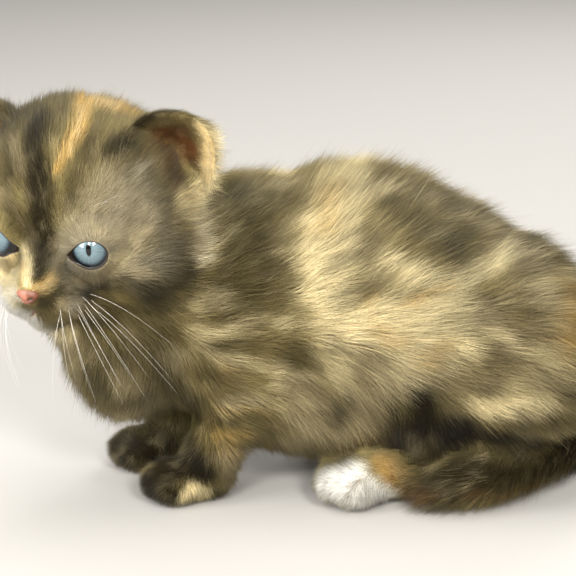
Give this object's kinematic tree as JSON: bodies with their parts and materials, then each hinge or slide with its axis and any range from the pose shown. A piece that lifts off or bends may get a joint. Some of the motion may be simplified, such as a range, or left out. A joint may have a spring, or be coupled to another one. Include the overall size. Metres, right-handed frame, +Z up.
{
  "type": "munchkin cat kitten",
  "caption": "Life-size still model of a short-legged kitten, crouched on its paws with its head turned and its tail curled beside it.",
  "frame": {"origin": "middle of the kitten's box, on the floor between its paws", "axes": "+X towards the rump, +Y to the kitten's right side, +Z up; the body faces -X and the head is turned towards -Y"},
  "size_m": [0.2044, 0.0832, 0.1142],
  "materials": {
    "olive_brown_coat": "soft short fur, olive brown with paler tips",
    "dark_brown_coat": "soft short fur, dark brown",
    "gold_cream_coat": "soft short fur, cream to gold",
    "white_coat": "soft short fur, white",
    "nose_leather": "fine grained, moist, pink",
    "kitten_eye": "wet gloss over a pale blue iris"
  },
  "bodies": {
    "root": {"ear_left": "olive_brown_coat", "ear_right": "olive_brown_coat", "head": "olive_brown_coat", "neck": "olive_brown_coat", "torso": "olive_brown_coat", "foreleg_left": "olive_brown_coat", "foreleg_right": "olive_brown_coat", "forepaw_left": "dark_brown_coat", "forepaw_right": "dark_brown_coat", "hindfoot_left": "white_coat", "hindfoot_right": "white_coat", "thigh_left": "gold_cream_coat", "thigh_right": "gold_cream_coat", "tail_root": "dark_brown_coat", "tail_middle": "dark_brown_coat", "tail_tip": "dark_brown_coat", "nose": "nose_leather", "eye_left": "kitten_eye", "eye_right": "kitten_eye"}
  },
  "joints": []
}
